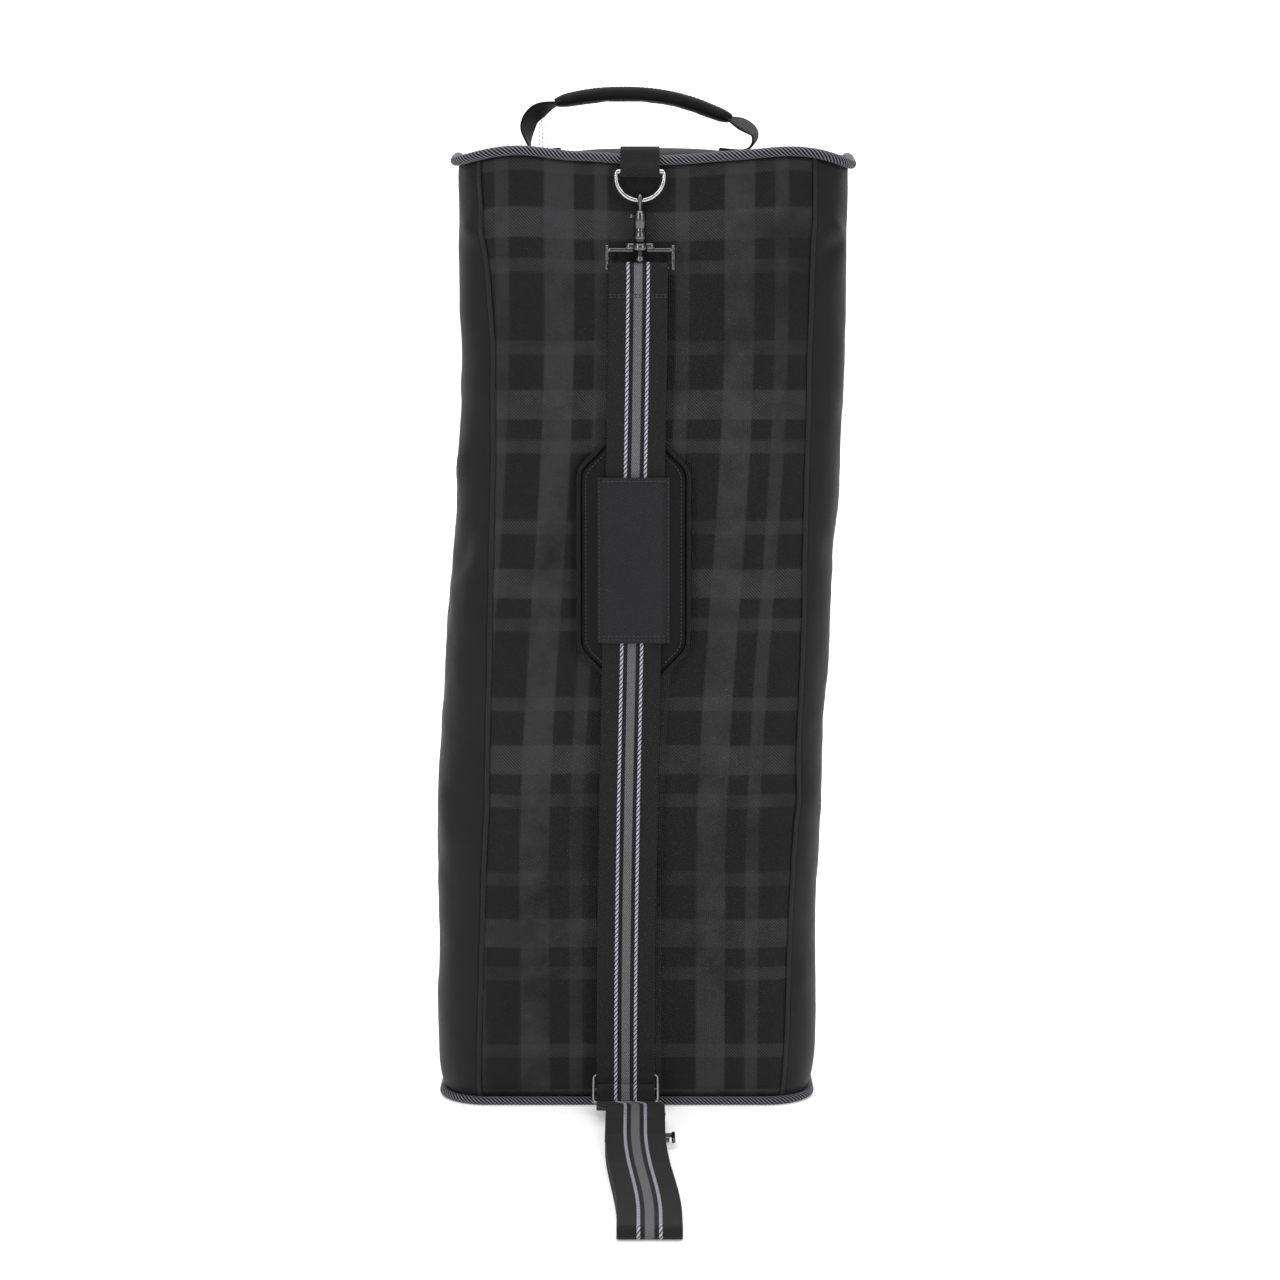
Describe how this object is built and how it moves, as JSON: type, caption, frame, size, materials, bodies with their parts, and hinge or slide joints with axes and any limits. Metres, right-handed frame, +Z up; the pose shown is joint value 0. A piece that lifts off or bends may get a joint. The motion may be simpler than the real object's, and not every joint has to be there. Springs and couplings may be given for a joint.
{
  "type": "rope_storage_bag",
  "caption": "Tall dark plaid soft bag with corded rims, a carry handle, a zipped rear flap and a striped clip-on shoulder strap with a sliding pad.",
  "frame": {"origin": "On the floor, at the centre of the bag's base.", "axes": "+Z up, the strapped front faces -Y, +X to the right seen from the front."},
  "size_m": [0.2632, 0.4201, 0.669],
  "materials": {
    "plaid_cloth": "tonal plaid twill, near black",
    "side_cloth": "plain weave, near black, soft sheen",
    "lining_cloth": "coated plain weave",
    "board": "matt fibre board",
    "piping_cord": "twisted two-colour cord",
    "webbing": "ribbed black webbing",
    "strap_webbing": "herringbone webbing with a grey band and two pale cords",
    "pad_cloth": "black cloth over foam",
    "sleeve_cloth": "ballistic weave",
    "grip_cloth": "padded black cloth",
    "zip_tape": "knitted zip tape",
    "zip_coil": "nylon coil",
    "bright_nickel": "polished nickel plate",
    "dark_metal": "gunmetal plate, tumbled",
    "spring_steel": "bare spring wire"
  },
  "bodies": {
    "bag": {"base_panel": "lining_cloth", "base_board": "board", "front_panel": "plaid_cloth", "left_gusset": "side_cloth", "right_gusset": "side_cloth", "rear_panel": "plaid_cloth", "top_panel": "side_cloth", "top_board": "board", "top_piping": "piping_cord", "bottom_piping": "piping_cord", "zip_tape_bag": "zip_tape", "zip_coil_bag": "zip_coil", "zip_stops": "dark_metal", "handle_anchors": "webbing", "ring_tab_top": "webbing", "strap_loop_top": "dark_metal", "ring_tab_low": "webbing", "strap_loop_low": "dark_metal", "strap_webbing": "strap_webbing", "strap_slider": "bright_nickel"},
    "rear_flap": {"rear_flap": "plaid_cloth", "zip_tape_flap": "zip_tape", "zip_coil_flap": "zip_coil"},
    "zip_slider": {"zip_slider": "dark_metal"},
    "zip_pull": {"zip_pull": "dark_metal"},
    "handle": {"handle_webbing": "webbing", "handle_grip": "grip_cloth"},
    "top_ring": {"d_ring_top": "bright_nickel"},
    "top_hook": {"snap_hook_top": "dark_metal", "bolt_spring_top": "spring_steel"},
    "top_bolt": {"snap_bolt_top": "dark_metal"},
    "low_ring": {"d_ring_low": "bright_nickel"},
    "low_hook": {"snap_hook_low": "dark_metal", "bolt_spring_low": "spring_steel"},
    "low_bolt": {"snap_bolt_low": "dark_metal"},
    "shoulder_pad": {"shoulder_pad": "pad_cloth", "pad_sleeve": "sleeve_cloth"}
  },
  "joints": [
    {"name": "flap_hinge", "type": "hinge", "parent": "bag", "child": "rear_flap", "pos_m": [-0.089, 0.065, 0.3], "axis": [0, 0, 1], "range_deg": [0, 115]},
    {"name": "zip_run", "type": "slide", "parent": "rear_flap", "child": "zip_slider", "axis": [1, 0, 0], "range_m": [0, 0.123]},
    {"name": "pull_swing", "type": "hinge", "parent": "zip_slider", "child": "zip_pull", "pos_m": [-0.0775, 0.06775, 0.58], "axis": [0, 0, -1], "range_deg": [-150, 0]},
    {"name": "handle_swing", "type": "hinge", "parent": "bag", "child": "handle", "pos_m": [0, 0, 0.6356], "axis": [1, 0, 0], "range_deg": [-70, 70]},
    {"name": "top_ring_tilt", "type": "hinge", "parent": "bag", "child": "top_ring", "pos_m": [0, -0.072, 0.6115], "axis": [1, 0, 0], "range_deg": [-1.5, 1.5]},
    {"name": "top_hook_swivel", "type": "hinge", "parent": "bag", "child": "top_hook", "pos_m": [0, -0.072, 0.59325], "axis": [0, 0, 1], "range_deg": [-15, 15]},
    {"name": "top_bolt_pull", "type": "slide", "parent": "top_hook", "child": "top_bolt", "axis": [0, 0, -1], "range_m": [0, 0.005], "stiffness_N_per_m": 300, "springref_m": -0.002, "deforming": ["bolt_spring_top"]},
    {"name": "low_ring_tilt", "type": "hinge", "parent": "bag", "child": "low_ring", "pos_m": [0, -0.1025, 0.0056], "axis": [1, 0, 0], "range_deg": [-1.5, 1.5]},
    {"name": "low_hook_swivel", "type": "hinge", "parent": "bag", "child": "low_hook", "pos_m": [0, -0.12075, 0.0056], "axis": [0, 1, 0], "range_deg": [-10, 10]},
    {"name": "low_bolt_pull", "type": "slide", "parent": "low_hook", "child": "low_bolt", "axis": [0, -1, 0], "range_m": [0, 0.005], "stiffness_N_per_m": 300, "springref_m": -0.002, "deforming": ["bolt_spring_low"]},
    {"name": "pad_slide", "type": "slide", "parent": "bag", "child": "shoulder_pad", "axis": [0, 0, 1], "range_m": [-0.06, 0.06]}
  ],
  "couplings": [
    {"joint": "zip_run", "follows": "flap_hinge", "m_per_rad": 0.06128}
  ]
}
